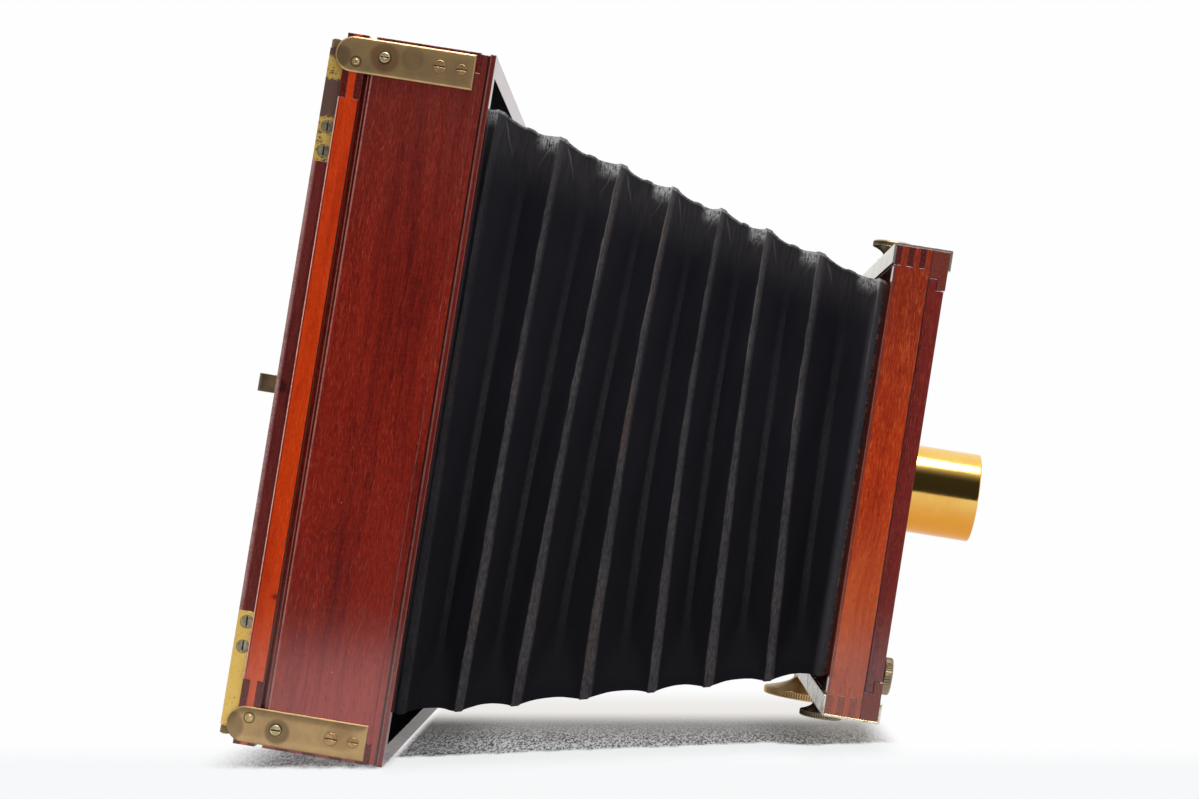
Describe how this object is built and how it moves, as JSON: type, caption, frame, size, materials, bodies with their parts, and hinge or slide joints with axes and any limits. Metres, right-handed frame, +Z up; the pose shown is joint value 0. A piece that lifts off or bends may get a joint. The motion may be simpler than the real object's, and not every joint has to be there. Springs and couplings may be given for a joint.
{
  "type": "plate camera",
  "caption": "Old wood and brass plate camera with tapered bellows, rack focusing, rising lens board and a hinged ground-glass screen.",
  "frame": {"origin": "centre of the tripod bush's mouth, in the underside of the baseboard", "axes": "+Z up, -Y the way the lens points, +X to the viewer's left when standing behind the camera"},
  "size_m": [0.298, 0.3177, 0.3248],
  "materials": {
    "dark_mahogany": "french polished mahogany, dark red-brown",
    "red_mahogany": "french polished mahogany, orange-red",
    "black_leather": "matt black leathercloth",
    "lacquered_brass": "old lacquered brass, dull",
    "polished_brass": "polished brass",
    "black_brass": "blackened brass",
    "steel": "old bare steel",
    "lens_glass": "clear",
    "matt_glass": "ground on one side"
  },
  "bodies": {
    "camera_body": {"back_bottom_rail": "red_mahogany", "back_left_stile": "dark_mahogany", "back_right_stile": "dark_mahogany", "back_seat": "dark_mahogany", "back_top_rail": "red_mahogany", "base_left_rail": "red_mahogany", "base_right_rail": "red_mahogany", "base_screws": "steel", "baseboard": "red_mahogany", "bellows": "black_leather", "bellows_rear_frame": "dark_mahogany", "body_bottom_board": "dark_mahogany", "body_left_board": "dark_mahogany", "body_right_board": "dark_mahogany", "body_top_board": "dark_mahogany", "left_spring_plate": "lacquered_brass", "pivot_arms": "lacquered_brass", "plate_screws": "steel", "racks": "lacquered_brass", "right_spring_plate": "lacquered_brass", "tripod_bush": "lacquered_brass"},
    "front_standard": {"carriage": "red_mahogany", "foot_rail": "red_mahogany", "left_upright": "lacquered_brass", "right_upright": "lacquered_brass", "upright_screws": "steel", "front_bottom_board": "red_mahogany", "front_left_board": "dark_mahogany", "front_right_board": "dark_mahogany", "front_top_board": "red_mahogany", "bellows_board": "red_mahogany", "bellows_front_flange": "red_mahogany", "lens_board_guides": "dark_mahogany", "lens_board_sill": "dark_mahogany", "clamp_washers": "lacquered_brass"},
    "lens_panel": {"lens_board": "dark_mahogany", "lens_flange": "polished_brass", "flange_screws": "steel", "lens_barrel": "polished_brass", "front_glass": "lens_glass", "rear_glass": "lens_glass", "retaining_rings": "black_brass"},
    "focus_drive": {"pinion_shaft": "steel", "focus_knob": "polished_brass"},
    "board_clamp": {"board_clamp_knob": "polished_brass"},
    "left_clamp": {"left_clamp_knob": "polished_brass"},
    "right_clamp": {"right_clamp_knob": "polished_brass"},
    "left_catch": {"left_catch_studs": "steel"},
    "right_catch": {"right_catch_studs": "steel"},
    "focusing_screen": {"screen_top_rail": "dark_mahogany", "screen_bottom_rail": "dark_mahogany", "screen_left_stile": "dark_mahogany", "screen_right_stile": "dark_mahogany", "ground_glass": "matt_glass", "glazing_beads": "dark_mahogany", "screen_straps": "polished_brass", "strap_screws": "steel", "screen_lug": "lacquered_brass"}
  },
  "joints": [
    {"name": "focus", "type": "slide", "parent": "camera_body", "child": "front_standard", "axis": [0, -1, 0], "range_m": [-0.085, 0.024], "deforming": ["bellows"]},
    {"name": "focus_turn", "type": "hinge", "parent": "front_standard", "child": "focus_drive", "pos_m": [0, -0.102, 0.0302], "axis": [1, 0, 0], "range_deg": [-700, 200]},
    {"name": "lens_rise", "type": "slide", "parent": "front_standard", "child": "lens_panel", "axis": [0, 0, 1], "range_m": [0, 0.025]},
    {"name": "board_clamp_turn", "type": "hinge", "parent": "front_standard", "child": "board_clamp", "pos_m": [-0.0889, -0.1265, 0.173], "axis": [0, -1, 0], "range_deg": [0, 360]},
    {"name": "left_clamp_turn", "type": "hinge", "parent": "front_standard", "child": "left_clamp", "pos_m": [0.1093, -0.102, 0.173], "axis": [1, 0, 0], "range_deg": [0, 360]},
    {"name": "right_clamp_turn", "type": "hinge", "parent": "front_standard", "child": "right_clamp", "pos_m": [-0.1093, -0.102, 0.173], "axis": [-1, 0, 0], "range_deg": [0, 360]},
    {"name": "left_catch_lift", "type": "hinge", "parent": "camera_body", "child": "left_catch", "pos_m": [0.14, 0.108, 0.322], "axis": [1, 0, 0], "range_deg": [0, 4.5], "stiffness_Nm_per_rad": 5.7, "deforming": ["left_spring_plate"]},
    {"name": "right_catch_lift", "type": "hinge", "parent": "camera_body", "child": "right_catch", "pos_m": [-0.14, 0.108, 0.322], "axis": [1, 0, 0], "range_deg": [0, 4.5], "stiffness_Nm_per_rad": 5.7, "deforming": ["right_spring_plate"]},
    {"name": "screen_swing", "type": "hinge", "parent": "camera_body", "child": "focusing_screen", "pos_m": [0, 0.1511, 0.3178], "axis": [1, 0, 0], "range_deg": [0, 105]}
  ],
  "couplings": [
    {"joint": "focus_turn", "follows": "focus", "rad_per_m": 142.86}
  ]
}
